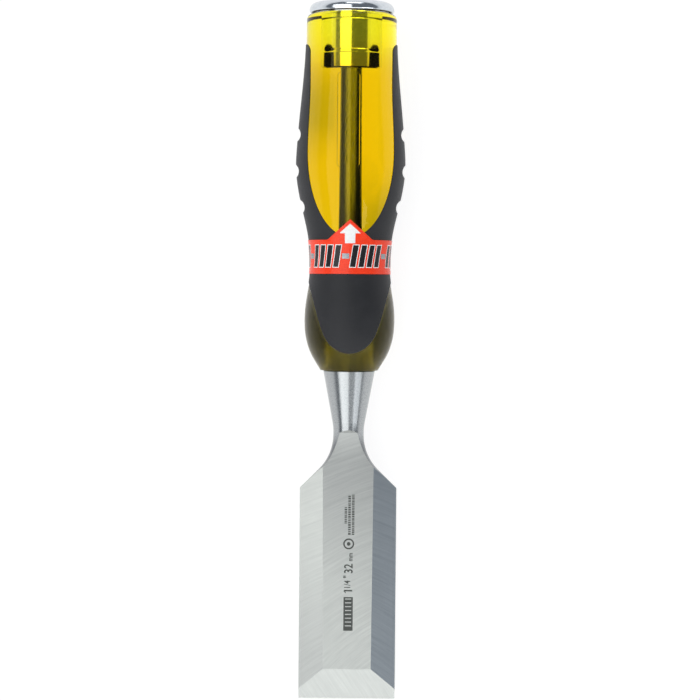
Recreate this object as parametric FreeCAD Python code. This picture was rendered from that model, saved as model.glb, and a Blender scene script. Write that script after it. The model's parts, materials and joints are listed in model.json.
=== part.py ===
import FreeCAD, Part
import math
import os

# Bench chisel with a through tang: a forged blade whose tang runs through a clear amber handle
# core to a steel strike cap, with a soft grip moulded round the core and a printed waist label.
#
# Millimetres. Everything is drawn in the tool frame: the handle axis is +Y with the cutting edge
# at y = 0, +X goes across the blade and +Z comes out of the bevelled face. place_on_bench() then
# lays the tool on z = 0 the way it lies on a bench, on the back of the handle's bulb and belly.

Vector = FreeCAD.Vector
AXIS = Vector(0, 1, 0)
ACROSS = Vector(1, 0, 0)
UP = Vector(0, 0, 1)
FAR = 60.0  # further than anything reaches sideways, for cutting tools

OVERALL_LENGTH = 229.4

# Blade: a flat back, a front land that falls towards the edge, two side bevels, one main bevel
BLADE_WIDTH = 31.75
BACK_Z = -2.2
EDGE_THICKNESS = 0.1
MAIN_BEVEL_DEG = 25.0
MAIN_BEVEL_LENGTH = 10.45
SIDE_BEVEL_DEG = 22.0
LAND_HALF_AT_BEVEL = 7.9
LAND_HALF_AT_SHOULDER = 8.3
SHOULDER_Y = 76.1  # where the 45 degree shoulder starts to curve into the neck
LAND_END_Y = 79.8  # where the land starts to curve up into the neck
LAND_END_Z = 3.15
LAND_RUNOUT_RADIUS = 40.0
LAND_STOP_Y = 88.2
LAND_STOP_DEG = 47.0
BACK_END_Y = 78.8
BACK_RUNOUT_RADIUS = 25.0
BACK_RUNOUT_LENGTH = 13.0

# Neck and bolster, turned round the handle axis
NECK_RADIUS = 5.02
NECK_Y = 87.3
FLARE_RADIUS = 15.8
BOLSTER_SLOPE_DEG = 10.6
BOLSTER_RADIUS = 8.52
BOLSTER_TOP = 108.6
BOLSTER_EDGE = 0.35

# Tang
TANG_ROOT_RADIUS = 5.3
TANG_ROOT_TOP = 120.8
TANG_LOW_RADIUS = 2.8
TANG_LOW_Y = 124.8
TANG_HIGH_RADIUS = 2.4
TANG_HIGH_Y = 190.8
TANG_TOP = 220.3
TANG_CHAMFER = 0.6

# Handle: the core's surface from its bottom edge to the top of the grip, as (y, radius)
HANDLE_PROFILE = [
    (108.6, 9.4),
    (110.6, 10.65),
    (113.2, 12.2),
    (117.8, 13.95),
    (124.4, 14.76),
    (131.0, 14.3),
    (136.8, 13.35),
    (141.8, 12.88),
    (147.3, 13.0),
    (152.8, 13.65),
    (158.8, 14.95),
    (164.8, 16.35),
    (170.3, 17.32),
    (175.8, 17.7),
    (181.8, 17.42),
    (188.8, 16.87),
    (197.8, 16.02),
    (206.8, 15.22),
    (215.4, 14.75),
]
CORE_TOP = 225.0
CORE_SHOULDER = 1.9

# Strike cap: a domed head on a plug that takes the tang's end
CAP_RADIUS = 13.95
CAP_DOME_RADIUS = 100.0
CAP_CORNER = 2.6
CAP_UNDERSIDE_ROUND = 0.95
CAP_SEAT_RADIUS = 12.3
PLUG_RADIUS = 6.8
PLUG_BOTTOM = 206.7
PLUG_CHAMFER = 0.5
PLUG_GROOVES = (212.5, 223.4)
GROOVE_RADIUS = 2.0
GROOVE_DEPTH = 0.1

# Soft grip: set into the core and standing a little proud of it
GRIP_PROUD = 0.25
GRIP_DEPTH = 1.75
ARM_TOP = 215.1
ARM_CORNER_Y = 212.0
ARM_INNER_HALF = 13.2
WINDOW_HALF = 13.89
WINDOW_CENTRE_Y = 179.2
WINDOW_DEPTH = 27.2
TONGUE_OUTLINE = [(14.1, 139.0), (12.1, 132.3), (9.65, 123.6), (6.76, 117.6), (0.0, 114.3)]
NOTCHES = (185.7, 173.6, 161.7)
NOTCH_RADIUS = 3.0
NOTCH_DEPTH = 0.87
NOTCH_HALF_ANGLE = 14.0
GRIP_EDGE_ROUND = 0.2

# Small flats at the back of the bulb and the belly, which keep the tool from rolling on a bench
REST_FLAT_DEPTH = 0.4

# Waist label: a thin printed band with a peak that points to the cap
LABEL_THICKNESS = 0.2
LABEL_BOTTOM = 140.1
LABEL_TOP = 151.1
LABEL_PEAK = 157.7
LABEL_PEAK_HALF = 7.3
LABEL_FILLET = 1.2

PROFILE_STEPS = 2000  # points along the handle's profile when its resting tilt is worked out


def flat(x, y):
    """A point in the plane through the axis that revolved outlines and plan outlines share."""
    return Vector(x, y, 0)


def line(a, b):
    return Part.makeLine(a, b)


def spline_line(a, b):
    """A straight edge that revolves to a spline face. A true cone cut by the land and the back
    would leave hyperbolas, which overflow when a distance to them is measured."""
    return Part.LineSegment(a, b).toBSpline().toShape()


def path(points):
    """Straight edges from each point to the next."""
    return [line(a, b) for a, b in zip(points, points[1:])]


def arc(start, middle, end):
    return Part.Arc(start, middle, end).toShape()


def turned_arc(centre, radius, start_deg, end_deg):
    """An arc in the flat plane, from one angle to the other about its centre."""
    at = [math.radians(a) for a in (start_deg, (start_deg + end_deg) / 2, end_deg)]
    return arc(*[centre + flat(radius * math.cos(a), radius * math.sin(a)) for a in at])


def ends(edge):
    """The edge's two end points, in the order that it was drawn."""
    return edge.valueAt(edge.FirstParameter), edge.valueAt(edge.LastParameter)


def face(edges):
    return Part.Face(Part.Wire(Part.__sortEdges__(edges)))


def revolved(edges):
    return face(edges).revolve(Vector(0, 0, 0), AXIS, 360)


def through_cut(edges):
    """A prism that runs right through the tool along Z."""
    shape = face(edges)
    shape.translate(UP * -FAR)
    return shape.extrude(UP * 2 * FAR)


def side_cut(points_and_edges):
    """A prism that runs right through the tool along X, from an outline in the YZ plane."""
    shape = face(points_and_edges)
    shape.translate(ACROSS * -FAR)
    return shape.extrude(ACROSS * 2 * FAR)


def side(y, z):
    return Vector(0, y, z)


def handle_curve(offset):
    """The handle's profile, moved out from the axis by offset."""
    curve = Part.BSplineCurve()
    curve.interpolate([flat(r + offset, y) for y, r in HANDLE_PROFILE])
    return curve


def handle_shell(inner_offset, outer_offset):
    """The body of revolution between two offsets of the handle's profile."""
    inner = handle_curve(inner_offset).toShape()
    outer = handle_curve(outer_offset).toShape()
    (inner_low, inner_high), (outer_low, outer_high) = ends(inner), ends(outer)
    return revolved([inner, outer, line(inner_low, outer_low), line(inner_high, outer_high)])


def handle_radius(y):
    """The radius of the core's surface at y."""
    curve = handle_curve(0.0)
    crossing = curve.intersectCC(Part.LineSegment(flat(0, y), flat(FAR, y)))[0]
    return crossing.X


def forging_profile():
    """The half outline that the blade, neck, bolster and tang are turned from."""
    half = BLADE_WIDTH
    flare_centre = flat(NECK_RADIUS + FLARE_RADIUS, NECK_Y)
    flare = turned_arc(flare_centre, FLARE_RADIUS, 180, 225)
    flare_top, flare_bottom = ends(flare)
    shoulder_bottom = flat(half, flare_bottom.y - (half - flare_bottom.x))

    slope = math.radians(BOLSTER_SLOPE_DEG)
    cone_start_y = BOLSTER_TOP - (BOLSTER_RADIUS - NECK_RADIUS) / math.tan(slope)
    blend_length = FLARE_RADIUS * math.tan(slope / 2)
    blend_centre = flat(NECK_RADIUS + FLARE_RADIUS, cone_start_y - blend_length)
    blend = turned_arc(blend_centre, FLARE_RADIUS, 180, 180 - BOLSTER_SLOPE_DEG)
    blend_low, blend_high = ends(blend)

    return [
        *path([flat(0, 0), flat(half, 0), shoulder_bottom]),
        spline_line(shoulder_bottom, flare_bottom),
        flare,
        line(flare_top, blend_low),
        blend,
        *path(
            [
                blend_high,
                flat(BOLSTER_RADIUS - BOLSTER_EDGE * math.tan(slope), BOLSTER_TOP - BOLSTER_EDGE),
                flat(BOLSTER_RADIUS - BOLSTER_EDGE, BOLSTER_TOP),
                flat(TANG_ROOT_RADIUS, BOLSTER_TOP),
                flat(TANG_ROOT_RADIUS, TANG_ROOT_TOP),
                flat(TANG_LOW_RADIUS, TANG_LOW_Y),
                flat(TANG_HIGH_RADIUS, TANG_HIGH_Y),
                flat(TANG_HIGH_RADIUS, TANG_TOP - TANG_CHAMFER),
                flat(TANG_HIGH_RADIUS - TANG_CHAMFER, TANG_TOP),
                flat(0, TANG_TOP),
                flat(0, 0),
            ]
        ),
    ]


def land_start_z():
    return BACK_Z + EDGE_THICKNESS + MAIN_BEVEL_LENGTH * math.tan(math.radians(MAIN_BEVEL_DEG))


def runout(start, slope, radius, length, sign):
    """An arc in the YZ plane that leaves start at the slope and bends away; sign 1 bends up."""

    def at(part):
        turn = slope + sign * part * math.asin(length / radius)
        y = start.y + radius * sign * (math.sin(turn) - math.sin(slope))
        z = start.z + radius * sign * (math.cos(slope) - math.cos(turn))
        return side(y, z)

    return arc(start, at(0.5), at(1.0)), at(1.0)


def above_land():
    """What the main bevel, the land and its run-out at the neck take off the forging."""
    land_start = side(MAIN_BEVEL_LENGTH, land_start_z())
    land_end = side(LAND_END_Y, LAND_END_Z)
    slope = math.atan2(land_end.z - land_start.z, land_end.y - land_start.y)
    curve, stop = runout(
        land_end, slope, LAND_RUNOUT_RADIUS, LAND_STOP_Y - LAND_END_Y, 1
    )
    ramp_height = NECK_RADIUS
    ramp_top = stop + side(ramp_height / math.tan(math.radians(LAND_STOP_DEG)), ramp_height)
    edge = side(0, BACK_Z + EDGE_THICKNESS)
    return side_cut(
        [
            *path([side(-FAR, edge.z), edge, land_start, land_end]),
            curve,
            *path([stop, ramp_top, side(ramp_top.y, FAR), side(-FAR, FAR), side(-FAR, edge.z)]),
        ]
    )


def below_back():
    """What the flat back and its run-out at the neck take off the forging."""
    back_end = side(BACK_END_Y, BACK_Z)
    curve, stop = runout(back_end, 0.0, BACK_RUNOUT_RADIUS, BACK_RUNOUT_LENGTH, -1)
    return side_cut(
        [
            line(side(-FAR, BACK_Z), back_end),
            curve,
            *path([stop, side(stop.y, -FAR), side(-FAR, -FAR), side(-FAR, BACK_Z)]),
        ]
    )


def side_bevel(sign):
    """What one side bevel takes off; sign 1 is the +X side."""
    low = Vector(LAND_HALF_AT_BEVEL, MAIN_BEVEL_LENGTH, land_start_z())
    land_rise = (LAND_END_Z - low.z) / (LAND_END_Y - MAIN_BEVEL_LENGTH)
    fall = -math.tan(math.radians(SIDE_BEVEL_DEG))
    drift = (LAND_HALF_AT_SHOULDER - LAND_HALF_AT_BEVEL) / (SHOULDER_Y - MAIN_BEVEL_LENGTH)
    rise = land_rise - fall * drift

    def on_bevel(x, y):
        return Vector(sign * x, y, low.z + fall * (x - low.x) + rise * (y - low.y))

    inner, outer, bottom, top = 6.5, BLADE_WIDTH, -5.0, LAND_END_Y + 1
    corners = [(inner, bottom), (outer, bottom), (outer, top), (inner, top), (inner, bottom)]
    return face(path([on_bevel(x, y) for x, y in corners])).extrude(UP * FAR)


def make_blade():
    """Blade, neck, bolster and through tang: one forging."""
    half = BLADE_WIDTH / 2
    slab = Part.makeBox(2 * half, 2 * FAR + OVERALL_LENGTH, 2 * FAR, Vector(-half, -FAR, -FAR))
    blade = revolved(forging_profile()).common(slab)
    for cut in (above_land(), below_back(), side_bevel(1), side_bevel(-1)):
        blade = blade.cut(cut)
    return blade


def plug_side():
    """The plug's flank from its seat down to its bottom, with two shallow ring grooves."""
    half = math.sqrt(GROOVE_RADIUS**2 - (GROOVE_RADIUS - GROOVE_DEPTH) ** 2)
    edges, last = [], flat(PLUG_RADIUS, CORE_TOP)
    for y in sorted(PLUG_GROOVES, reverse=True):
        top, bottom = flat(PLUG_RADIUS, y + half), flat(PLUG_RADIUS, y - half)
        edges += [line(last, top), arc(top, flat(PLUG_RADIUS - GROOVE_DEPTH, y), bottom)]
        last = bottom
    chamfer_top = flat(PLUG_RADIUS, PLUG_BOTTOM + PLUG_CHAMFER)
    chamfer_end = flat(PLUG_RADIUS - PLUG_CHAMFER, PLUG_BOTTOM)
    return edges + path([last, chamfer_top, chamfer_end, flat(0, PLUG_BOTTOM)])


def make_strike_cap(blade):
    """The domed steel head and its plug, bored for the end of the tang."""
    dome_centre = flat(0, OVERALL_LENGTH - CAP_DOME_RADIUS)
    corner_r = CAP_RADIUS - CAP_CORNER
    reach = CAP_DOME_RADIUS - CAP_CORNER
    lean = math.degrees(math.asin(corner_r / reach))
    rim_y = dome_centre.y + math.sqrt(reach**2 - corner_r**2)
    under_r = CAP_RADIUS - CAP_UNDERSIDE_ROUND
    underside = rim_y - CAP_UNDERSIDE_ROUND
    head = [
        turned_arc(dome_centre, CAP_DOME_RADIUS, 90, 90 - lean),
        turned_arc(flat(corner_r, rim_y), CAP_CORNER, 90 - lean, 0),
        turned_arc(flat(under_r, rim_y), CAP_UNDERSIDE_ROUND, 0, -90),
        *path(
            [
                flat(under_r, underside),
                flat(CAP_SEAT_RADIUS, underside),
                flat(CAP_SEAT_RADIUS, CORE_TOP),
                flat(PLUG_RADIUS, CORE_TOP),
            ]
        ),
    ]
    closing = line(flat(0, PLUG_BOTTOM), flat(0, OVERALL_LENGTH))
    return revolved([*head, *plug_side(), closing]).cut(blade)


def window_cut():
    """The openings in front and behind that leave the core bare, and all above the arms."""
    right = flat(WINDOW_HALF, WINDOW_CENTRE_Y)
    left = flat(-WINDOW_HALF, WINDOW_CENTRE_Y)
    ellipse = Part.Ellipse(flat(0, WINDOW_CENTRE_Y - WINDOW_DEPTH), right, flat(0, WINDOW_CENTRE_Y))
    bottom = Part.Arc(ellipse, *sorted(ellipse.parameter(p) for p in (left, right))).toShape()
    if bottom.BoundBox.YMax > WINDOW_CENTRE_Y + 1:
        a, b = sorted(ellipse.parameter(p) for p in (left, right))
        bottom = Part.Arc(ellipse, b, a + 2 * math.pi).toShape()

    def flank(sign):
        curve = Part.BSplineCurve()
        corner = flat(sign * ARM_INNER_HALF, ARM_CORNER_Y)
        waist = flat(sign * ARM_INNER_HALF, (ARM_CORNER_Y + 2 * WINDOW_CENTRE_Y) / 3 + 8)
        curve.interpolate(
            Points=[flat(sign * WINDOW_HALF, WINDOW_CENTRE_Y), waist, corner],
            InitialTangent=AXIS,
            FinalTangent=AXIS,
        )
        tip = flat(sign * (HANDLE_PROFILE[-1][1] + GRIP_PROUD + 0.3), ARM_TOP)
        middle = flat(
            corner.x + (tip.x - corner.x) * (1 - math.cos(math.pi / 4)),
            corner.y + (tip.y - corner.y) * math.sin(math.pi / 4),
        )
        round_corner = Part.BSplineCurve()
        round_corner.interpolate(
            Points=[corner, middle, tip], InitialTangent=AXIS, FinalTangent=ACROSS * sign
        )
        return [curve.toShape(), round_corner.toShape()], tip

    right_edges, right_tip = flank(1)
    left_edges, left_tip = flank(-1)
    above = [right_tip, flat(FAR, ARM_TOP), flat(FAR, FAR + ARM_TOP), flat(-FAR, FAR + ARM_TOP)]
    above += [flat(-FAR, ARM_TOP), left_tip]
    return through_cut([bottom, *right_edges, *left_edges, *path(above)])


def tongue_cut():
    """All of the grip's lower end outside the front and back tongues."""
    mirrored = [(-x, y) for x, y in reversed(TONGUE_OUTLINE[:-1])]
    curve = Part.BSplineCurve()
    curve.interpolate([flat(x, y) for x, y in TONGUE_OUTLINE + mirrored])
    top_x, top_y = TONGUE_OUTLINE[0]
    around = [
        flat(top_x, top_y),
        flat(FAR, top_y),
        flat(FAR, 0),
        flat(-FAR, 0),
        flat(-FAR, top_y),
        flat(-top_x, top_y),
    ]
    return through_cut([curve.toShape(), *path(around)])


def notch(y, sign):
    """A finger notch that runs a short way round the side of the grip, with ball ends."""
    centre_r = handle_radius(y) + GRIP_PROUD - NOTCH_DEPTH + NOTCH_RADIUS
    centre = flat(sign * centre_r, y)
    disc = Part.Face(Part.Wire(Part.Circle(centre, UP, NOTCH_RADIUS).toShape()))
    disc.rotate(Vector(0, 0, 0), AXIS, -NOTCH_HALF_ANGLE)
    cutter = disc.revolve(Vector(0, 0, 0), AXIS, 2 * NOTCH_HALF_ANGLE)
    for angle in (-NOTCH_HALF_ANGLE, NOTCH_HALF_ANGLE):
        ball = Part.makeSphere(NOTCH_RADIUS, centre)
        ball.rotate(Vector(0, 0, 0), AXIS, angle)
        cutter = cutter.fuse(ball)
    return cutter


def make_grip_blank():
    """Two arms, a waist band and front and back tongues, moulded as one piece."""
    return handle_shell(-GRIP_DEPTH, GRIP_PROUD).cut(window_cut()).cut(tongue_cut())


def lies_outside(edge, curve):
    """True if the edge runs along the surface that the curve sweeps round the axis."""
    for share in (0.1, 0.5, 0.9):
        p = edge.valueAt(edge.FirstParameter + (edge.LastParameter - edge.FirstParameter) * share)
        crossings = curve.intersectCC(Part.LineSegment(flat(0, p.y), flat(FAR, p.y)))
        if not crossings or abs(math.hypot(p.x, p.z) - crossings[0].X) > GRIP_EDGE_ROUND / 10:
            return False
    return True


def make_soft_grip(blank):
    """The grip with its finger notches, and all its outer edges rounded."""
    grip = blank
    for y in NOTCHES:
        for sign in (1, -1):
            grip = grip.cut(notch(y, sign))
    surface = handle_curve(GRIP_PROUD)
    edges = [
        e
        for e in grip.Edges
        if len(grip.ancestorsOfType(e, Part.Face)) == 2 and lies_outside(e, surface)
    ]
    return grip.makeFillet(GRIP_EDGE_ROUND, edges)


def make_handle_core(inserts):
    """The clear core, hollowed where the tang, the plug and the grip sit."""
    surface = handle_curve(0.0).toShape()
    low, high = ends(surface)
    shoulder_y = CORE_TOP - CORE_SHOULDER
    shoulder = turned_arc(flat(high.x - CORE_SHOULDER, shoulder_y), CORE_SHOULDER, 0, 90)
    core = revolved(
        [
            surface,
            line(high, flat(high.x, shoulder_y)),
            shoulder,
            *path([flat(high.x - CORE_SHOULDER, CORE_TOP), flat(0, CORE_TOP), flat(0, low.y), low]),
        ]
    )
    for insert in inserts:
        core = core.cut(insert)
    return core


def peak_outline():
    """The label's peak in plan, with its foot sunk into the band and its sides flared to it."""
    foot = flat(LABEL_PEAK_HALF, LABEL_TOP)
    lean = math.atan2(LABEL_PEAK - LABEL_TOP, LABEL_PEAK_HALF)
    tangent = LABEL_FILLET * math.tan(lean / 2)
    up_side = foot + flat(-math.cos(lean), math.sin(lean)) * tangent
    along = foot + flat(tangent, 0)
    middle = along + flat(-LABEL_FILLET * math.sin(lean / 2), LABEL_FILLET * (1 - math.cos(lean / 2)))

    def mirrored(p):
        return flat(-p.x, p.y)

    apex = flat(0, LABEL_PEAK)
    sunk = flat(0, (LABEL_TOP - LABEL_BOTTOM) / -2)
    right = [line(apex, up_side), arc(up_side, middle, along), line(along, along + sunk)]
    left = [
        line(apex, mirrored(up_side)),
        arc(mirrored(up_side), mirrored(middle), mirrored(along)),
        line(mirrored(along), mirrored(along) + sunk),
    ]
    return [*right, *left, line(along + sunk, mirrored(along) + sunk)]


def make_waist_label(grip, core):
    """The printed band round the waist and its peak on the front."""
    skin = handle_shell(-GRIP_PROUD, GRIP_PROUD + LABEL_THICKNESS)
    height = LABEL_TOP - LABEL_BOTTOM
    band = Part.makeBox(2 * FAR, height, 2 * FAR, Vector(-FAR, LABEL_BOTTOM, -FAR))
    peak = face(peak_outline()).extrude(UP * FAR)
    return skin.common(band.fuse(peak)).cut(grip).cut(core)


def bench_pose():
    """The tilt, in degrees, at which the handle's bulb and its belly touch one plane, and that
    plane's depth under the tool frame's origin."""
    bulb = handle_curve(GRIP_PROUD).discretize(PROFILE_STEPS)
    belly = handle_curve(0.0).discretize(PROFILE_STEPS)

    def depth(points, tilt):
        return max(p.x * math.cos(tilt) - p.y * math.sin(tilt) for p in points)

    bulb = [p for p in bulb if p.y < LABEL_BOTTOM]
    belly = [p for p in belly if p.y > LABEL_TOP]
    low, high = 0.0, math.radians(10)
    while high - low > 1e-7:
        middle = (low + high) / 2
        if depth(belly, middle) > depth(bulb, middle):
            low = middle
        else:
            high = middle
    return math.degrees(low), depth(belly, low)


def place_on_bench(shapes):
    """Lays the tool down so that z = 0 cuts the rest flats, with the origin under the middle of
    its bounding box."""
    tilt, depth = bench_pose()
    for shape in shapes:
        shape.rotate(Vector(0, 0, 0), ACROSS, tilt)
    box = Part.makeCompound(shapes).optimalBoundingBox(False)
    shift = Vector(0, -box.Center.y, depth - REST_FLAT_DEPTH)
    for shape in shapes:
        shape.translate(shift)
    return tilt, shift


def rest_flat(shape):
    """The shape without what would reach under the bench's surface."""
    corner = Vector(-FAR, -OVERALL_LENGTH, -FAR)
    return shape.cut(Part.makeBox(2 * FAR, 2 * OVERALL_LENGTH, FAR, corner))


def main():
    blade = make_blade()
    strike_cap = make_strike_cap(blade)
    grip_blank = make_grip_blank()
    soft_grip = make_soft_grip(grip_blank)
    handle_core = make_handle_core([blade, strike_cap, grip_blank])
    waist_label = make_waist_label(grip_blank, handle_core)
    parts = {
        "blade": blade,
        "strike_cap": strike_cap,
        "handle_core": handle_core,
        "soft_grip": soft_grip,
        "waist_label": waist_label,
    }
    tilt, shift = place_on_bench(list(parts.values()))
    print(f"tilt {tilt:.4f} deg, shift {shift}")
    for name in ("handle_core", "soft_grip"):
        parts[name] = rest_flat(parts[name])
    os.makedirs("parts", exist_ok=True)
    for name, shape in parts.items():
        (solid,) = shape.Solids
        print(f"{name}: {solid.Volume:.1f} mm3, valid {solid.isValid()}")
        solid.exportStep(f"parts/{name}.step")


main()
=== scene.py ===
import bpy
import json
import math
import random
from mathutils import Matrix, Vector
from mathutils.bvhtree import BVHTree


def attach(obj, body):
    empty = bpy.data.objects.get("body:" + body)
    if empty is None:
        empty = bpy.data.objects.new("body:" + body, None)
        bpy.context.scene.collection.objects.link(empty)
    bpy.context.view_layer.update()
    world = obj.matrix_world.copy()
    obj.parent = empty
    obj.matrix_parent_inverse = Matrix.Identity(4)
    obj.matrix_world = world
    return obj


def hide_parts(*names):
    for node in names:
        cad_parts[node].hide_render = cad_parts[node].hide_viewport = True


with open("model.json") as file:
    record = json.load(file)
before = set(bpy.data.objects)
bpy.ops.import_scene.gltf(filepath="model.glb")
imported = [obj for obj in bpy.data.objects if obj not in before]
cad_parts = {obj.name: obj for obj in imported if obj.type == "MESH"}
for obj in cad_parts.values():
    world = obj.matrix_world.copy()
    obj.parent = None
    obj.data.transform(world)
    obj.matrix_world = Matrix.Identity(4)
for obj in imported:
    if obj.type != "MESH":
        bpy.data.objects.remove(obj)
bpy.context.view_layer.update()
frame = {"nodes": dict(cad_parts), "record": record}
nodes = frame["nodes"]
mounts = {m["name"]: m for m in frame["record"]["mounts"]}
scene = bpy.context.scene
rng = random.Random(7)

MM = 0.001
TO_MM = 1000

# ---------------------------------------------------------------- the tool's own frame
# Lengths in it are in mm. +X is across the blade. +Y is along the handle axis, with the cutting
# edge at -0.8, and a place on it is called t. +Z is out of the bevelled face.
BUTT_T = 218.45  # the middle of the butt mount
butt = mounts["handle_butt"]
AXIS = Vector(butt["axis"]).normalized()
ACROSS = Vector((1, 0, 0))
UP = ACROSS.cross(AXIS).normalized()
ORIGIN = Vector(butt["pos_m"]) - AXIS * BUTT_T * MM
TILT = math.atan2(AXIS.z, AXIS.y)
TOOL = Matrix.Translation(ORIGIN) @ Matrix((ACROSS, AXIS, UP)).transposed().to_4x4()
TOOL_INV = TOOL.inverted()

# the clear core
CORE_BOTTOM, CORE_TOP = 107.8, 224.2
TOP_CORNER = 1.9  # the height of the rounded corner under the cap
SEAT_RADIUS, BOLSTER_RADIUS = 12.15, 8.05
SINK = 0.12  # how far the core's ends go into the cap and the bolster, so no faces coincide
BULB_END = 137.6  # the core shows all round below this, but for the grip's tongues
COVERED_START, WINDOW_START = 138.4, 152.2
BURIED = 0.9  # how far the clear core goes into the grip where the grip covers it

# the mark moulded on the core's front
RIB_HEIGHT, RIB_HALF = 0.06, 0.15
MARK_SHIFT = -0.7  # it sits a little left of the axis
FRAME_HALF_W, FRAME_LOW, FRAME_HIGH, FRAME_CORNER = 3.6, 173.8, 203.9, 1.0
LOZENGES_EACH_WAY, LOZENGE_SHIFT, LOZENGE_LEAN = 3, 0.4, 0.25
LOZENGE_HALF_W, LOZENGE_HALF_H, LOZENGE_CORNER = 1.25, 1.15, 1.0

# how the blade is ground
MAIN_BEVEL, SIDE_BEVEL = math.radians(25), math.radians(22)
BEVEL_LINES = math.radians(58)  # from the blade's length to the direction across the bevel's lines
LAND_WHEEL, SIDE_WHEEL = (40.0, -30.0), (-32.0, -45.0)  # the middles of the arcs, as (x, t)
GROUND_END = 89.0


def at(x, t, z):
    """A point of the tool's frame, given in mm, in the row frame in metres."""
    return TOOL @ (Vector((x, t, z)) * MM)


def way(x, y, z):
    """A direction of the tool's frame in the row frame."""
    return (TOOL.to_3x3() @ Vector((x, y, z))).normalized()


# ---------------------------------------------------------------- node helpers
class Shader:
    """A material's node tree, built with short calls. Numbers and sockets mix freely."""

    def __init__(self, name):
        self.material = bpy.data.materials.new(name)
        self.material.use_nodes = True
        self.tree = self.material.node_tree
        self.tree.nodes.clear()
        self.output = self.tree.nodes.new("ShaderNodeOutputMaterial")
        self.coordinates = None

    def node(self, kind, *values, **settings):
        n = self.tree.nodes.new("ShaderNode" + kind)
        for key, value in settings.items():
            setattr(n, key, value)
        for socket, value in zip(n.inputs, values):
            self.put(socket, value)
        return n

    def put(self, socket, value):
        if value is None:
            return
        if isinstance(value, bpy.types.NodeSocket):
            self.tree.links.new(value, socket)
        elif socket.type == "RGBA" and len(value) == 3:
            socket.default_value = (*value, 1)
        else:
            socket.default_value = value

    def math(self, operation, *values):
        return self.node("Math", *values, operation=operation).outputs[0]

    def vector(self, operation, *values):
        n = self.node("VectorMath", *values, operation=operation)
        scalar = operation in ("DOT_PRODUCT", "LENGTH")
        return n.outputs["Value" if scalar else "Vector"]

    def combine(self, x, y, z=0.0):
        return self.node("CombineXYZ", x, y, z).outputs[0]

    def stretched(self, values, factors):
        """The values, each times its factor, as a point. A noise read there is stretched."""
        return self.combine(*(self.math("MULTIPLY", v, f) for v, f in zip(values, factors)))

    def weighted(self, a, a_weight, b, b_weight):
        a_part = self.math("MULTIPLY", a, a_weight)
        return self.math("ADD", a_part, self.math("MULTIPLY", b, b_weight))

    def blend(self, factor, a, b):
        """A number that goes from a to b."""
        return self.node("Mix", factor, None, a, b, data_type="FLOAT").outputs[0]

    def mix_vector(self, factor, a, b):
        n = self.node("Mix", factor, None, None, None, a, b, data_type="VECTOR")
        return n.outputs[1]

    def mix(self, factor, a, b):
        """A colour that goes from a to b."""
        n = self.node("Mix", factor, None, None, None, None, None, a, b, data_type="RGBA")
        return n.outputs[2]

    def ramp(self, value, low, high, out_low=0.0, out_high=1.0, smooth=True):
        kind = "SMOOTHSTEP" if smooth else "LINEAR"
        n = self.node("MapRange", value, low, high, out_low, out_high, interpolation_type=kind)
        return n.outputs[0]

    def noise(self, vector, scale=1.0, detail=3.0, rough=0.55, distortion=0.0):
        n = self.node("TexNoise")
        for name, value in (
            ("Vector", vector),
            ("Scale", scale),
            ("Detail", detail),
            ("Roughness", rough),
            ("Distortion", distortion),
        ):
            self.put(n.inputs[name], value)
        return n.outputs["Fac"]

    def tool(self):
        """The point in the tool's frame, in mm: (across, along, up)."""
        if self.coordinates is None:
            m = self.node("Mapping", vector_type="POINT")
            self.put(m.inputs["Vector"], self.node("TexCoord").outputs["Object"])
            m.inputs["Scale"].default_value = (TO_MM, TO_MM, TO_MM)
            m.inputs["Rotation"].default_value = (-TILT, 0, 0)
            m.inputs["Location"].default_value = TOOL_INV.translation * TO_MM
            self.coordinates = m.outputs[0]
        return self.coordinates

    def xyz(self, vector=None):
        n = self.node("SeparateXYZ", self.tool() if vector is None else vector)
        return n.outputs[0], n.outputs[1], n.outputs[2]

    def facing(self, x, y, z):
        """How far the surface faces a direction of the tool's frame, from -1 to 1."""
        normal = self.node("NewGeometry").outputs["True Normal"]
        return self.vector("DOT_PRODUCT", normal, tuple(way(x, y, z)))

    def from_axis(self):
        """The point's offset from the handle axis, in mm."""
        x, _, z = self.xyz()
        return self.combine(x, 0.0, z)

    def to_row(self, direction):
        """A direction of the tool's frame, turned into the row frame."""
        n = self.node("VectorRotate", direction, rotation_type="X_AXIS")
        n.inputs["Angle"].default_value = TILT
        return n.outputs[0]

    def bump(self, height, distance, strength):
        n = self.node("Bump")
        self.put(n.inputs["Strength"], strength)
        self.put(n.inputs["Distance"], distance)
        self.put(n.inputs["Height"], height)
        return n.outputs[0]

    def surface(self, **inputs):
        """The principled shader, with input names written with underscores."""
        n = self.node("BsdfPrincipled")
        for key, value in inputs.items():
            self.put(n.inputs[key.replace("_", " ")], value)
        self.tree.links.new(n.outputs[0], self.output.inputs["Surface"])
        return n


# ---------------------------------------------------------------- colours
# A name that holds two colours is a range that a noise moves through.
GROUND_STEEL = (0.40, 0.415, 0.40), (0.55, 0.57, 0.545)
DULL_STEEL = (0.29, 0.30, 0.295), (0.44, 0.455, 0.445)
CLOUDED_STEEL = (0.42, 0.435, 0.42)
RIGHT_BEVEL_PAINTED_SHADE = (0.20, 0.225, 0.245), (0.29, 0.32, 0.345)
WALL_PAINTED_SHADE = (0.17, 0.18, 0.19)
BOLSTER_STEEL = (0.36, 0.38, 0.39), (0.44, 0.455, 0.46)
TANG_STEEL = (0.30, 0.33, 0.30), (0.42, 0.46, 0.42)
ROOT_PAINTED_SHADE = (0.050, 0.048, 0.041), (0.130, 0.125, 0.110)
HEAD_STEEL = (0.57, 0.61, 0.65), (0.68, 0.71, 0.74)
PLUG_STEEL = (0.80, 0.81, 0.80), (0.88, 0.89, 0.88)
RUBBER = (0.006, 0.0065, 0.0088), (0.0128, 0.0137, 0.0165)
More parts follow.
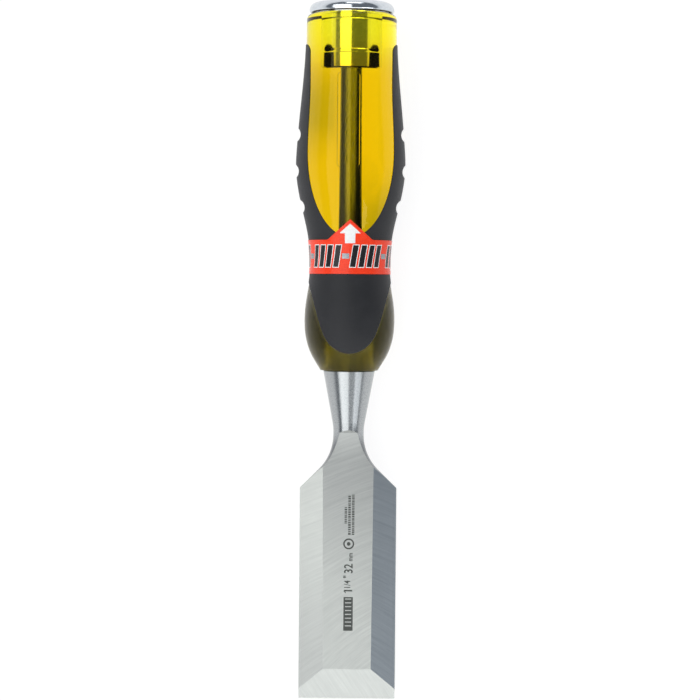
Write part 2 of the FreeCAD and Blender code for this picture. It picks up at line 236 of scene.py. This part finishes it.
WORN_RUBBER, RUBBER_DUST = (0.021, 0.022, 0.025), (0.10, 0.10, 0.105)
MOULDED_RUBBER, RUBBER_SHEEN = (0.010, 0.010, 0.009), (0.85, 0.9, 1.0)
LEMON, HONEY, PALE_HONEY = (1.0, 0.99, 0.70), (0.90, 0.67, 0.40), (0.97, 0.84, 0.55)
PAINTED_SHADE_TINT, SCUFFED = (0.46, 0.53, 0.50), (0.80, 0.62, 0.35)
GLINT, DEPTH_TINT = (0.65, 0.58, 0.25), (0.998, 0.972, 0.0, 1)
RED_INK = (0.82, 0.045, 0.014), (0.88, 0.055, 0.018)
WHITE_INK = (0.78, 0.78, 0.77), (0.84, 0.84, 0.82)
BLACK_INK = (0.02, 0.02, 0.022), (0.012, 0.012, 0.014)
SILVER_INK = (0.26, 0.28, 0.30), (0.36, 0.38, 0.40)
ETCHED = (0.045, 0.050, 0.045), (0.075, 0.082, 0.074)
CLEAR = (1.0, 1.0, 1.0)


# ---------------------------------------------------------------- steel
def grinding(s, x, t, side, bevel):
    """Places across and along the grinding lines, and the direction across them.

    The land and the side bevels were ground on a wheel, which leaves arcs about a far middle.
    The main bevel has straight lines.
    """
    arc_scale = 80.0  # mm along an arc for each radian, about the arcs' radius

    def arcs(px, middle):
        offset = s.vector("SUBTRACT", s.combine(px, t), (*middle, 0))
        ox, ot, _ = s.xyz(offset)
        along = s.math("MULTIPLY", s.math("ARCTAN2", ox, ot), arc_scale)
        return s.vector("LENGTH", offset), along, s.vector("NORMALIZE", offset)

    land_across, land_along, land_way = arcs(x, LAND_WHEEL)
    side_across, side_along, side_way = arcs(s.math("ABSOLUTE", x), SIDE_WHEEL)
    bevel_way = (math.sin(BEVEL_LINES), math.cos(BEVEL_LINES), 0)
    line_way = (math.cos(BEVEL_LINES), -math.sin(BEVEL_LINES), 0)
    plan = s.combine(x, t)
    across = s.blend(side, land_across, side_across)
    across = s.blend(bevel, across, s.vector("DOT_PRODUCT", plan, bevel_way))
    along = s.blend(side, land_along, side_along)
    along = s.blend(bevel, along, s.vector("DOT_PRODUCT", plan, line_way))
    # the arcs of the left side bevel mirror those of the right one
    side_way = s.vector("MULTIPLY", side_way, s.combine(s.math("SIGN", x), 1.0))
    line_normal = s.mix_vector(side, land_way, side_way)
    return across, along, s.mix_vector(bevel, line_normal, bevel_way)


def blade_material():
    s = Shader("blade_steel")
    x, t, z = s.xyz()

    def faces(a, b, c):
        return s.ramp(s.facing(a, b, c), 0.975, 0.985)

    bevel = faces(0, -math.sin(MAIN_BEVEL), math.cos(MAIN_BEVEL))
    left = faces(-math.sin(SIDE_BEVEL), 0, math.cos(SIDE_BEVEL))
    right = faces(math.sin(SIDE_BEVEL), 0, math.cos(SIDE_BEVEL))
    side = s.math("MAXIMUM", left, right)
    # the neck's flare faces the cap and the land's run-out faces the edge
    limit = s.ramp(t, 84.0, 86.0, 0.07, -0.1, smooth=False)
    run_out = s.math("LESS_THAN", s.facing(0, 1, 0), limit)
    ground = s.math("MULTIPLY", run_out, s.math("LESS_THAN", t, GROUND_END))
    inside = s.math("GREATER_THAN", t, CORE_BOTTOM + 0.1)

    across, along, line_normal = grinding(s, x, t, side, bevel)
    fine = s.noise(s.stretched((across, along, side), (7.0, 0.10, 1.0)), 1.0, 4.0, 0.65)
    broad = s.noise(s.stretched((across, along, side), (1.3, 0.05, 1.0)), 1.0, 3.0, 0.6)
    hair = s.noise(s.stretched((across, along, bevel), (22.0, 0.5, 1.0)), 1.0, 2.0, 0.5)
    streak = s.weighted(fine, 0.5, broad, 0.5)
    cloud = s.noise(s.tool(), 0.12, 3.0, 0.6)
    # the turned neck and bolster have faint rings and small pits
    rings = s.noise(s.combine(s.math("MULTIPLY", t, 6.0), 0.0), 1.0, 4.0, 0.6)
    pits = s.noise(s.tool(), 3.2, 4.0, 0.65)
    tang_tone = s.noise(s.stretched((x, t, z), (1.5, 0.2, 1.5)), 1.0, 4.0, 0.6)

    # the front land is duller towards the neck, the side bevels towards the edge
    ground_tone = s.ramp(streak, 0.30, 0.70, smooth=False)
    worn = s.blend(side, s.ramp(t, 30.0, 80.0), s.ramp(t, 10.0, 60.0, 0.7, 0.0))
    worn = s.math("MULTIPLY", worn, s.math("SUBTRACT", 1.0, bevel))
    clean_colour, dull_colour = s.mix(ground_tone, *GROUND_STEEL), s.mix(ground_tone, *DULL_STEEL)
    ground_colour = s.mix(worn, clean_colour, dull_colour)
    ground_colour = s.mix(s.ramp(cloud, 0.35, 0.7, 0.0, 0.25), ground_colour, CLOUDED_STEEL)
    # painted shade: the right side bevel is painted darker and bluer, standing in for the dim light
    # it reflects
    ground_colour = s.mix(right, ground_colour, s.mix(ground_tone, *RIGHT_BEVEL_PAINTED_SHADE))

    # the bolster is polished and the tang has a grey skin; the upright walls by the neck are
    # painted dark, a painted shade for the shadowed floor they reflect
    tang_mix = s.ramp(tang_tone, 0.3, 0.7)
    tang_colour = s.mix(tang_mix, *TANG_STEEL)
    # painted shade: the root is painted far darker than the tang, standing in for the black rubber
    # it reflects
    tang_colour = s.mix(s.ramp(t, 120.0, 124.0), s.mix(tang_mix, *ROOT_PAINTED_SHADE), tang_colour)
    turned_colour = s.mix(inside, s.mix(s.ramp(pits, 0.35, 0.75), *BOLSTER_STEEL), tang_colour)
    # painted shade on the upright walls by the neck, in place of the darker floor they reflect
    upright = s.ramp(s.math("ABSOLUTE", s.facing(1, 0, 0)), 0.45, 0.75)
    wall = s.math("MULTIPLY", upright, s.ramp(t, 82.0, 88.0, 1.0, 0.0))
    wall = s.math("MULTIPLY", wall, s.ramp(t, 66.0, 70.0))
    turned_colour = s.mix(wall, turned_colour, WALL_PAINTED_SHADE)

    tang_rough = s.ramp(tang_tone, 0.3, 0.7, 0.46, 0.56)
    turned_rough = s.blend(inside, s.ramp(pits, 0.3, 0.75, 0.25, 0.34), tang_rough)
    ground_rough = s.ramp(streak, 0.25, 0.75, 0.36, 0.48, smooth=False)
    # the shine spreads across the grinding lines, and along the turned parts
    spread = s.mix_vector(ground, (0.0, 1.0, 0.0), line_normal)
    turned_height = s.weighted(rings, 0.6, pits, 0.7)
    height = s.blend(ground, turned_height, s.weighted(fine, 0.8, hair, 0.5))
    s.surface(
        Base_Color=s.mix(ground, turned_colour, ground_colour),
        Metallic=1.0,
        Roughness=s.blend(ground, turned_rough, ground_rough),
        Anisotropic=0.85,
        Tangent=s.to_row(spread),
        Normal=s.bump(height, 0.000012, 0.6),
    )
    return s.material


def cap_material():
    s = Shader("cap_steel")
    x, t, z = s.xyz()
    radius = s.vector("LENGTH", s.from_axis())
    turned = s.noise(s.stretched((radius, t, 0.0), (9.0, 9.0, 1.0)), 1.0, 3.0, 0.6)
    scuff = s.noise(s.tool(), 0.9, 4.0, 0.7, 1.5)
    fine = s.noise(s.stretched((x, t, z), (6.0, 1.0, 0.7)), 1.0, 3.0, 0.6)
    tone = s.ramp(scuff, 0.35, 0.7)
    plug = s.math("LESS_THAN", t, CORE_TOP + SINK)
    s.surface(
        Base_Color=s.mix(plug, s.mix(tone, *HEAD_STEEL), s.mix(tone, *PLUG_STEEL)),
        Metallic=1.0,
        Roughness=s.weighted(s.ramp(scuff, 0.4, 0.75, 0.10, 0.18), 1.0, fine, 0.03),
        Normal=s.bump(s.weighted(turned, 1.0, fine, 0.5), 0.000004, 0.5),
    )
    return s.material


# ---------------------------------------------------------------- rubber, print, acetate, etching
def rubber_material():
    s = Shader("grip_rubber")
    grain = s.noise(s.tool(), 2.6, 5.0, 0.7)
    speck = s.noise(s.tool(), 7.0, 2.0, 0.5)
    worn = s.noise(s.tool(), 0.10, 3.0, 0.6)
    dust = s.ramp(speck, 0.66, 0.74)
    colour = s.mix(s.ramp(grain, 0.3, 0.7), *RUBBER)
    colour = s.mix(s.ramp(worn, 0.45, 0.75, 0.0, 0.4), colour, WORN_RUBBER)
    colour = s.mix(s.math("MULTIPLY", dust, 0.35), colour, RUBBER_DUST)
    rough = s.ramp(s.weighted(grain, 1.0, worn, 0.5), 0.5, 1.0, 0.50, 0.72, smooth=False)
    # the skin moulded against the core has no gloss of its own, for no air lies between them
    outward = s.to_row(s.vector("NORMALIZE", s.from_axis()))
    normal = s.node("NewGeometry").outputs["True Normal"]
    moulded = s.math("LESS_THAN", s.vector("DOT_PRODUCT", normal, outward), -0.2)
    height = s.blend(moulded, s.weighted(grain, 1.0, speck, 0.5), 0.5)
    s.surface(
        Base_Color=s.mix(moulded, colour, MOULDED_RUBBER),
        Metallic=moulded,
        Roughness=s.blend(moulded, rough, 1.0),
        Specular_IOR_Level=0.4,
        Sheen_Weight=0.05,
        Sheen_Roughness=0.4,
        Sheen_Tint=RUBBER_SHEEN,
        Normal=s.bump(height, 0.00005, 0.7),
    )
    return s.material


def print_material(name, tones, rough_low=0.18, rough_high=0.30, metallic=0.0):
    """Glossy ink on film, a little uneven in tone and gloss."""
    s = Shader(name)
    ink = s.noise(s.tool(), 1.6, 4.0, 0.6)
    wave = s.noise(s.tool(), 0.35, 2.0, 0.5)
    s.surface(
        Base_Color=s.mix(s.ramp(ink, 0.35, 0.7), *tones),
        Metallic=metallic,
        Roughness=s.ramp(ink, 0.3, 0.75, rough_low, rough_high),
        Specular_IOR_Level=0.25,
        Normal=s.bump(s.weighted(wave, 1.0, ink, 0.12), 0.00003, 0.5),
    )
    return s.material


def acetate_material():
    """Clear amber acetate. Lamps shine through it, tinted by its depth."""
    s = Shader("core_acetate")
    x, t, z = s.xyz()
    wave = s.noise(s.tool(), 0.22, 2.0, 0.5)
    scuff = s.noise(s.stretched((x, t, z), (1.5, 0.25, 1.0)), 1.4, 4.0, 0.65)
    # lemon near the cap, deeper amber down the grip, and paler again in the bulb
    colour = s.mix(s.ramp(t, 203.0, 220.0), HONEY, LEMON)
    colour = s.mix(s.ramp(t, 139.0, 146.0, 1.0, 0.0), colour, PALE_HONEY)
    # painted shade: two darker patches with wandering ends, at the left and lower right, standing
    # in for the shadow the tool casts on the floor under the core
    wander = s.math("SUBTRACT", s.noise(s.tool(), 0.09, 3.0, 0.5), 0.5)
    shade_patch_t = s.weighted(t, 1.0, wander, 9.0)
    left_painted_shade = s.math("MULTIPLY", s.ramp(shade_patch_t, 174.0, 190.0),
                        s.ramp(shade_patch_t, 195.0, 212.0, 1.0, 0.0))
    left_painted_shade = s.math("MULTIPLY", left_painted_shade, s.ramp(x, -6.5, -2.0, 1.0, 0.0))
    right_painted_shade = s.math("MULTIPLY", s.ramp(shade_patch_t, 154.0, 176.0, 1.0, 0.0),
                         s.ramp(x, 1.0, 5.0))
    right_painted_shade = s.math("MULTIPLY", right_painted_shade, s.ramp(t, 142.0, 146.0))
    painted_shade = s.math("MAXIMUM", s.math("MULTIPLY", left_painted_shade, 0.9), right_painted_shade)
    colour = s.mix(painted_shade, colour, s.vector("MULTIPLY", colour, PAINTED_SHADE_TINT))
    colour = s.mix(s.ramp(scuff, 0.45, 0.8, 0.0, 0.08), colour, SCUFFED)
    # the bulb below the label is a little satin from handling
    gloss = s.ramp(scuff, 0.5, 0.85, 0.0, 0.03)
    satin = s.ramp(scuff, 0.4, 0.85, 0.276, 0.30)
    body = s.surface(
        Base_Color=colour,
        Roughness=s.blend(s.ramp(t, 139.0, 145.0, 1.0, 0.0), gloss, satin),
        IOR=1.47,
        Specular_IOR_Level=0.3,
        Specular_Tint=GLINT,
        Transmission_Weight=1.0,
        Normal=s.bump(wave, 0.00015, 0.15),
    )
    to_lamp = s.node("LightPath").outputs["Is Shadow Ray"]
    through = s.node("BsdfTransparent", CLEAR)
    both = s.node("MixShader", to_lamp, body.outputs[0], through.outputs[0])
    s.tree.links.new(both.outputs[0], s.output.inputs["Surface"])
    depth = s.node("VolumeAbsorption")
    depth.inputs["Color"].default_value = DEPTH_TINT
    depth.inputs["Density"].default_value = 200.0
    s.tree.links.new(depth.outputs[0], s.output.inputs["Volume"])
    return s.material


def etch_material():
    s = Shader("etched_marks")
    grain = s.noise(s.tool(), 9.0, 3.0, 0.6)
    s.surface(
        Base_Color=s.mix(s.ramp(grain, 0.35, 0.65), *ETCHED),
        Roughness=s.ramp(grain, 0.3, 0.7, 0.45, 0.65),
        Metallic=0.3,
        Normal=s.bump(grain, 0.00001, 0.5),
    )
    return s.material


# ---------------------------------------------------------------- meshes
def piece(name, vertices, faces, material, replaced=None, smooth=True):
    """A mesh in the row frame that rides on the one body."""
    mesh = bpy.data.meshes.new(name)
    mesh.from_pydata([tuple(v) for v in vertices], [], faces)
    mesh.materials.append(material)
    if smooth:
        mesh.polygons.foreach_set("use_smooth", [True] * len(mesh.polygons))
    mesh.update()
    mesh.validate()
    thing = bpy.data.objects.new(name, mesh)
    scene.collection.objects.link(thing)
    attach(thing, "root")
    if replaced:
        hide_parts(replaced)


def tree_of(node):
    mesh = nodes[node].data
    return BVHTree.FromPolygons([v.co for v in mesh.vertices], [p.vertices for p in mesh.polygons])


def surface_radius(tree, t, angle):
    """Distance from the axis to a CAD node's skin, in mm, at t and an angle from the front."""
    far = 60
    out = Vector((math.sin(angle), 0, math.cos(angle)))
    start = at(out.x * far, t, out.z * far)
    hit = TOOL_INV @ tree.ray_cast(start, -(TOOL.to_3x3() @ out))[0]
    return math.hypot(hit.x, hit.z) * TO_MM


def clamped(value):
    return max(0.0, min(1.0, value))


# ---------------------------------------------------------------- the clear core
def rounded_box(px, py, half_w, half_h, corner):
    """Signed distance to a rounded rectangle round the origin."""
    dx, dy = abs(px) - half_w + corner, abs(py) - half_h + corner
    return math.hypot(max(dx, 0), max(dy, 0)) + min(max(dx, dy), 0) - corner


def relief(arc, t):
    """Height of the moulded mark on the front: a plain frame round a row of plain lozenges."""
    arc -= MARK_SHIFT
    half_h = (FRAME_HIGH - FRAME_LOW) / 2
    up = t - (FRAME_LOW + FRAME_HIGH) / 2
    if abs(arc) > FRAME_HALF_W + 1 or abs(up) > half_h + 1:
        return 0.0
    distance = abs(rounded_box(arc, up, FRAME_HALF_W, half_h, FRAME_CORNER))
    pitch = (2 * half_h - 1.6) / (2 * LOZENGES_EACH_WAY + 1)
    k = round(up / pitch)
    if abs(k) <= LOZENGES_EACH_WAY:
        across = arc - LOZENGE_SHIFT
        along = up - k * pitch - across * LOZENGE_LEAN
        box = rounded_box(across, along, LOZENGE_HALF_W, LOZENGE_HALF_H, LOZENGE_CORNER)
        distance = min(distance, abs(box))
    if distance >= RIB_HALF:
        return 0.0
    return RIB_HEIGHT * (1 - (distance / RIB_HALF) ** 2) ** 1.5


def grip_depth(angle, t):
    """How far the core draws in at the sides, to stay inside the grip under its finger notches."""
    depth, notches_start, notches_end = 1.15, 156.0, 190.0
    from_side = abs(math.degrees(math.asin(math.cos(angle))))
    around = clamped((30 - from_side) / 8)
    along = clamped(min(t - notches_start, notches_end - t) / 1.5)
    return depth * around * along


def core_profile():
    """The clear core's outline as (radius, t), read off the CAD core and closed at both ends."""
    core = tree_of("handle_core")
    side, front = math.pi / 2, 0.0
    corner_start = CORE_TOP - TOP_CORNER
    # the rows: close together in the bulb, and closest where the moulded mark is
    bulb = [CORE_BOTTOM + 0.02 + 0.35 * i for i in range(86)]
    covered = [COVERED_START + 0.6 * i for i in range(22)]
    mark_count = int((FRAME_HIGH - FRAME_LOW + 1.2) / 0.13) + 1
    mark = [FRAME_LOW - 0.6 + 0.13 * i for i in range(mark_count)]
    window = [WINDOW_START + 0.5 * i for i in range(140)]
    window = [t for t in window if t < mark[0] - 0.1 or t > mark[-1] + 0.1]
    corner = [corner_start + TOP_CORNER * math.sin(math.radians(a)) for a in range(0, 90, 4)]

    profile = [(surface_radius(core, t, side), t) for t in bulb if t < BULB_END]
    bottom_radius = profile[0][0]
    profile += [(surface_radius(core, t, front) + BURIED, t) for t in covered]
    for t in sorted(window + mark):
        # averaged along the tool, so that the CAD mesh's facets don't show in the reflections
        reach = max(0.0, min(4.0, t - WINDOW_START, corner_start - 0.1 - t))
        near = [surface_radius(core, t + reach * k / 6, front) for k in range(-6, 7)]
        profile.append((sum(near) / len(near), t))
    # read a hair lower, so that no ray slips past the top
    profile += [(surface_radius(core, t - 0.002, front), t) for t in corner]
    top_radius = profile[-1][0]
    start = [
        (BOLSTER_RADIUS - 0.05, CORE_BOTTOM - SINK),
        (BOLSTER_RADIUS, CORE_BOTTOM),
        (bottom_radius - 0.03, CORE_BOTTOM),
    ]
    end = [
        (top_radius - 0.12, CORE_TOP),
        (SEAT_RADIUS, CORE_TOP),
        (SEAT_RADIUS - 0.05, CORE_TOP + SINK),
    ]
    return start + profile + end


def core_angles():
    """Angles from the front, round the core, with fine steps where the moulded mark is."""
    fine, coarse, edge = math.radians(0.45), math.radians(2.0), 0.30
    rest = 2 * math.pi - 2 * edge
    n_fine, n_coarse = int(2 * edge / fine), int(rest / coarse)
    angles = [-edge + 2 * edge * i / n_fine for i in range(n_fine)]
    return angles + [edge + rest * i / n_coarse for i in range(n_coarse)]


def clear_core():
    """One closed body of revolution, with the steel and the rubber embedded in it."""
    above_bench = 0.00003
    profile, angles = core_profile(), core_angles()
    vertices, faces = [], []
    for r, t in profile:
        for a in angles:
            from_front = a if a < math.pi else a - 2 * math.pi
            rr = r - grip_depth(a, t) + relief(r * from_front, t)
            p = at(rr * math.sin(a), t, rr * math.cos(a))
            p.z = max(p.z, above_bench)
            vertices.append(p)
    count = len(angles)
    low_centre, high_centre = len(vertices), len(vertices) + 1
    vertices += [at(0, CORE_BOTTOM - SINK, 0), at(0, CORE_TOP + SINK, 0)]
    last_row = (len(profile) - 1) * count
    for row in range(0, last_row, count):
        for j in range(count):
            k = (j + 1) % count
            faces.append((row + j, row + k, row + count + k, row + count + j))
    for j in range(count):
        k = (j + 1) % count
        faces.append((low_centre, k, j))
        faces.append((high_centre, last_row + j, last_row + k))
    piece("clear_core", vertices, faces, acetate_material(), "handle_core")


# ---------------------------------------------------------------- thin printed and etched shapes
def box(u0, v0, u1, v1):
    """A rectangle of a plan, as its corners."""
    return [(u0, v0), (u1, v0), (u1, v1), (u0, v1)]


def slab(outline, place, top, bottom, step):
    """Closed thin solids over quadrilaterals of a plan, laid on a surface by place(u, v, h)."""
    vertices, faces = [], []
    for quad in outline:
        a, b, c, d = [Vector(p) for p in quad]
        nu = max(1, int(max((b - a).length, (c - d).length) / step + 0.999))
        nv = max(1, int(max((d - a).length, (c - b).length) / step + 0.999))
        base = len(vertices)
        layer = (nu + 1) * (nv + 1)
        for h in (bottom, top):
            for j in range(nv + 1):
                for i in range(nu + 1):
                    p = a.lerp(b, i / nu).lerp(d.lerp(c, i / nu), j / nv)
                    vertices.append(place(p.x, p.y, h))

        def low(i, j):
            return base + j * (nu + 1) + i

        def high(i, j):
            return low(i, j) + layer

        for j in range(nv):
            for i in range(nu):
                first, *others = (i, j), (i + 1, j), (i + 1, j + 1), (i, j + 1)
                faces.append([high(*corner) for corner in (first, *others)])
                faces.append([low(*corner) for corner in (first, *reversed(others))])
        rim = [(i, 0) for i in range(nu)] + [(nu, j) for j in range(nv)]
        rim += [(i, nv) for i in range(nu, 0, -1)] + [(0, j) for j in range(nv, 0, -1)]
        for here, after in zip(rim, rim[1:] + rim[:1]):
            faces.append((low(*here), low(*after), high(*after), high(*here)))
    return vertices, faces


def label_print():
    """The print on the waist label: an arrow to the cap and a band of slanted bars."""
    label = tree_of("waist_label")
    read_at = 0.02  # radians from the front, where the label's radius is read
    reference = surface_radius(label, 145.0, read_at)

    def place(u, v, h):
        angle = u / reference
        r = surface_radius(label, v, read_at) + h
        return at(r * math.sin(angle), v, r * math.cos(angle))

    white = print_material("label_white", WHITE_INK)
    black = print_material("label_black", BLACK_INK)
    silver = print_material("label_silver", SILVER_INK, 0.25, 0.4, 0.6)

    arrow = [
        box(-1.62, 149.2, 1.62, 152.45),
        [(-3.25, 152.4), (3.25, 152.4), (0.02, 155.45), (-0.02, 155.45)],
    ]
    low, high, slant, keyline = 141.55, 148.55, 1.1, 0.24
    middle = (low + high) / 2
    girth = 2 * math.pi * reference
    count, every = 30, 5  # each fifth place has a silver strip in place of a bar
    pitch = girth / count
    bar_half, strip_half = pitch * 0.31, pitch * 0.42

    def slanted(u, half, bottom, top):
        def corner(du, v):
            return (u + du + slant * (v - middle) / (high - low), v)

        return [corner(-half, bottom), corner(half, bottom), corner(half, top), corner(-half, top)]

    keylines, bars, strips = [], [], []
    for i in range(count):
        u = (i + 0.5) * pitch - girth / 2
        if i % every == every - 1:
            strips.append(box(u - strip_half, 144.2, u + strip_half, 145.9))
            continue
        bars.append(slanted(u, bar_half, low, high))
        keylines.append(slanted(u, bar_half + keyline, low - keyline, high + keyline))
    for name, shapes, material, top in (
        ("label_arrow", arrow, white, 0.02),
        ("label_keylines", keylines, white, 0.02),
        ("label_bars", bars, black, 0.035),
        ("label_silver", strips, silver, 0.03),
    ):
        vertices, faces = slab(shapes, place, top, -0.08, 0.45)
        piece(name, vertices, faces, material, smooth=False)


def dashes():
    """Rows of short dashes of random lengths, in place of lines of small print."""
    half = 0.42
    quads = []
    for x, low, high in ((1.75, 53.9, 67.2), (0.55, 53.9, 66.9), (-0.65, 57.6, 63.0)):
        t = low
        while t < high:
            length = rng.uniform(0.3, 0.6)
            quads.append(box(x - half, t, x + half, min(t + length, high)))
            t += length + rng.uniform(0.2, 0.3)
    return quads


def ring_and_dot():
    x, t = 0.35, 50.9
    quads = []
    for outer, inner, n in ((1.80, 1.32, 48), (0.62, 0.0, 24)):
        for i in range(n):
            a, b = 2 * math.pi * i / n, 2 * math.pi * (i + 1) / n
            ends = ((inner, a), (outer, a), (outer, b), (inner, b))
            quads.append([(x + r * math.cos(turn), t + r * math.sin(turn)) for r, turn in ends])
    return quads


def hatched_bar():
    x0, x1, t0, t1 = -1.2, 1.85, 22.3, 33.4
    rim, gap, slots = 0.5, 0.3, 8
    middle = (x0 + x1) / 2
    quads = [
        box(x0, t0, x1, t0 + rim),
        box(x0, t1 - rim, x1, t1),
        box(x0, t0 + rim, x0 + rim, t1 - rim),
        box(x1 - rim, t0 + rim, x1, t1 - rim),
    ]
    pitch = (t1 - t0 - 2 * rim) / slots
    for i in range(slots):
        t = t0 + rim + i * pitch
        for left, right in ((x0 + rim, middle), (middle, x1 - rim)):
            quads.append(box(left, t, right, t + pitch - gap))
    return quads


def blade_marks():
    """Generic size marks and plain etched shapes on the land, reading up the blade."""
    blade = tree_of("blade")
    material = etch_material()
    top, bottom = 0.012, -0.05
    low_t, high_t = 15.0, 70.0

    def height(t):
        hit = blade.ray_cast(at(0, t, 40), -UP)[0]
        return (TOOL_INV @ hit).z * TO_MM

    z0 = height(low_t)
    slope = (height(high_t) - z0) / (high_t - low_t)

    def place(x, t, h):
        return at(x, t, z0 + slope * (t - low_t) + h)

    # the figure 1 of the inch mark is a stem and its flag
    figure = [
        box(-1.10, 35.25, 1.62, 35.75),
        [(-0.72, 34.70), (-0.42, 34.70), (-0.72, 35.3), (-1.10, 35.3)],
    ]
    quads = dashes() + ring_and_dot() + hatched_bar() + figure
    vertices, faces = slab(quads, place, top, bottom, 5.0)
    piece("etched_shapes", vertices, faces, material, smooth=False)

    def text(name, words, size, x, t, squeeze, bold):
        curve = bpy.data.curves.new(name + "_curve", "FONT")
        curve.body = words
        curve.size = size
        curve.extrude = (top - bottom) / 2
        curve.offset = bold
        curve.resolution_u = 3
        source = bpy.data.objects.new(name + "_source", curve)
        scene.collection.objects.link(source)
        bpy.context.view_layer.update()
        evaluated = source.evaluated_get(bpy.context.evaluated_depsgraph_get())
        mesh = bpy.data.meshes.new_from_object(evaluated)
        bpy.data.objects.remove(source)
        lift = (top + bottom) / 2
        points = [place(x - v.co.y, t + v.co.x * squeeze, v.co.z + lift) for v in mesh.vertices]
        polygons = [tuple(p.vertices) for p in mesh.polygons]
        bpy.data.meshes.remove(mesh)
        piece(name, points, polygons, material, smooth=False)

    for name, words, size, x, t, squeeze, bold in (
        ("size_32", "32", 3.9, 1.65, 41.1, 0.84, 0.06),
        ("size_mm", "mm", 2.2, 1.65, 45.2, 0.80, 0.05),
        ("size_quarter", "1/4", 2.9, 0.95, 36.0, 0.78, 0.035),
        ("size_inch", "\"", 3.2, 1.0, 39.6, 0.8, 0.06),
    ):
        text(name, words, size, x, t, squeeze, bold)


# ---------------------------------------------------------------- the object
def dress(node, material):
    materials = nodes[node].data.materials
    materials.clear()
    materials.append(material)


dress("blade", blade_material())
dress("strike_cap", cap_material())
dress("soft_grip", rubber_material())
dress("waist_label", print_material("label_red", RED_INK))
clear_core()
label_print()
blade_marks()


# ---------------------------------------------------------------- the studio
def pale_floor():
    half = 6.0
    mesh = bpy.data.meshes.new("floor")
    mesh.from_pydata([(*corner, 0) for corner in box(-half, -half, half, half)], [], [(0, 1, 2, 3)])
    floor = bpy.data.objects.new("floor", mesh)
    scene.collection.objects.link(floor)
    s = Shader("studio_floor")
    s.surface(
        Base_Color=(0.18, 0.18, 0.18),
        Roughness=0.9,
        Specular_IOR_Level=0.1,
        Emission_Color=(1.0, 1.0, 1.0),
        Emission_Strength=0.88,
    )
    mesh.materials.append(s.material)


def softbox(name, size, radiance, tint, place, turn):
    """A soft panel of a width and a length in metres, with its turn in degrees."""
    width, length = size
    data = bpy.data.lights.new(name, "AREA")
    data.shape = "RECTANGLE"
    data.size, data.size_y = width, length
    data.energy = radiance * math.pi * width * length
    data.color = tint
    lamp = bpy.data.objects.new(name, data)
    scene.collection.objects.link(lamp)
    lamp.location = place
    lamp.rotation_euler = [math.radians(a) for a in turn]


def lamps():
    middle = at(0, 110, 0)
    cool, neutral, warm = (0.98, 0.99, 1.0), (1.0, 1.0, 0.99), (1.0, 1.0, 0.985)

    def beside(angle, along):
        """A place at an angle from straight up, towards +X, and some way along the tool."""
        a = math.radians(angle)
        return middle + Vector((math.sin(a), 0, math.cos(a))) * 1.3 + Vector((0, along, 0))

    softbox("key_left", (1.24, 2.0), 1.75, warm, beside(-27.0, 0.0), (0, -27.0, 0))
    softbox("strip_right", (0.84, 0.75), 2.9, cool, beside(50.0, -0.92), (0, 50.0, 0))
    past_cap, past_edge = Vector((0.10, 1.15, 0.62)), Vector((-0.20, -1.15, 0.85))
    softbox("head", (0.70, 0.5), 1.7, (0.97, 0.99, 1.0), middle + past_cap, (-60, 0, -5))
    softbox("foot", (1.9, 0.9), 1.85, neutral, middle + past_edge, (55, 0, 0))


def walls():
    """The world: walls that are pale low down and darker above."""
    pale, dark = (0.95, 0.96, 0.97, 1), (0.17, 0.19, 0.215, 1)
    world = bpy.data.worlds.new("studio")
    scene.world = world
    world.use_nodes = True
    tree = world.node_tree
    here = tree.nodes.new("ShaderNodeTexCoord")
    split = tree.nodes.new("ShaderNodeSeparateXYZ")
    level = tree.nodes.new("ShaderNodeMapRange")
    level.interpolation_type = "SMOOTHSTEP"
    for name, value in (("From Min", 0.18), ("From Max", 0.32), ("To Min", 0.0), ("To Max", 1.0)):
        level.inputs[name].default_value = value
    tone = tree.nodes.new("ShaderNodeMix")
    tone.data_type = "RGBA"
    tone.inputs[6].default_value, tone.inputs[7].default_value = pale, dark
    tree.links.new(here.outputs["Generated"], split.inputs[0])
    tree.links.new(split.outputs[2], level.inputs[0])
    tree.links.new(level.outputs[0], tone.inputs[0])
    tree.links.new(tone.outputs[2], tree.nodes["Background"].inputs["Color"])


def camera():
    """Nearly straight above, looking down on the bevelled face, with the cap at the top."""
    data = bpy.data.cameras.new("camera")
    data.sensor_width = 36.0
    data.lens = 125.3
    data.clip_start, data.clip_end = 0.01, 30.0
    cam = bpy.data.objects.new("camera", data)
    scene.collection.objects.link(cam)
    scene.camera = cam
    lean, roll, distance = math.radians(1.5), math.radians(0.47), 0.8
    target = at(0.26, 114.4, 0)
    back = Vector((0, -math.sin(lean), math.cos(lean)))
    up = Vector((0, 1, 0)) - back * back.y
    up.normalize()
    right = up.cross(back)
    up, right = (
        up * math.cos(roll) - right * math.sin(roll),
        right * math.cos(roll) + up * math.sin(roll),
    )
    turn = Matrix((right, up, back)).transposed().to_4x4()
    cam.matrix_world = Matrix.Translation(target + back * distance) @ turn


pale_floor()
lamps()
walls()
camera()
scene.view_settings.view_transform = "Standard"
# light crosses the core and whatever is in it several times
scene.cycles.max_bounces = 16
scene.cycles.transmission_bounces = 14
scene.cycles.transparent_max_bounces = 16
# the denoiser keeps the blade's fine lines with these
scene.cycles.denoising_input_passes = "RGB_ALBEDO"
scene.cycles.use_adaptive_sampling = False
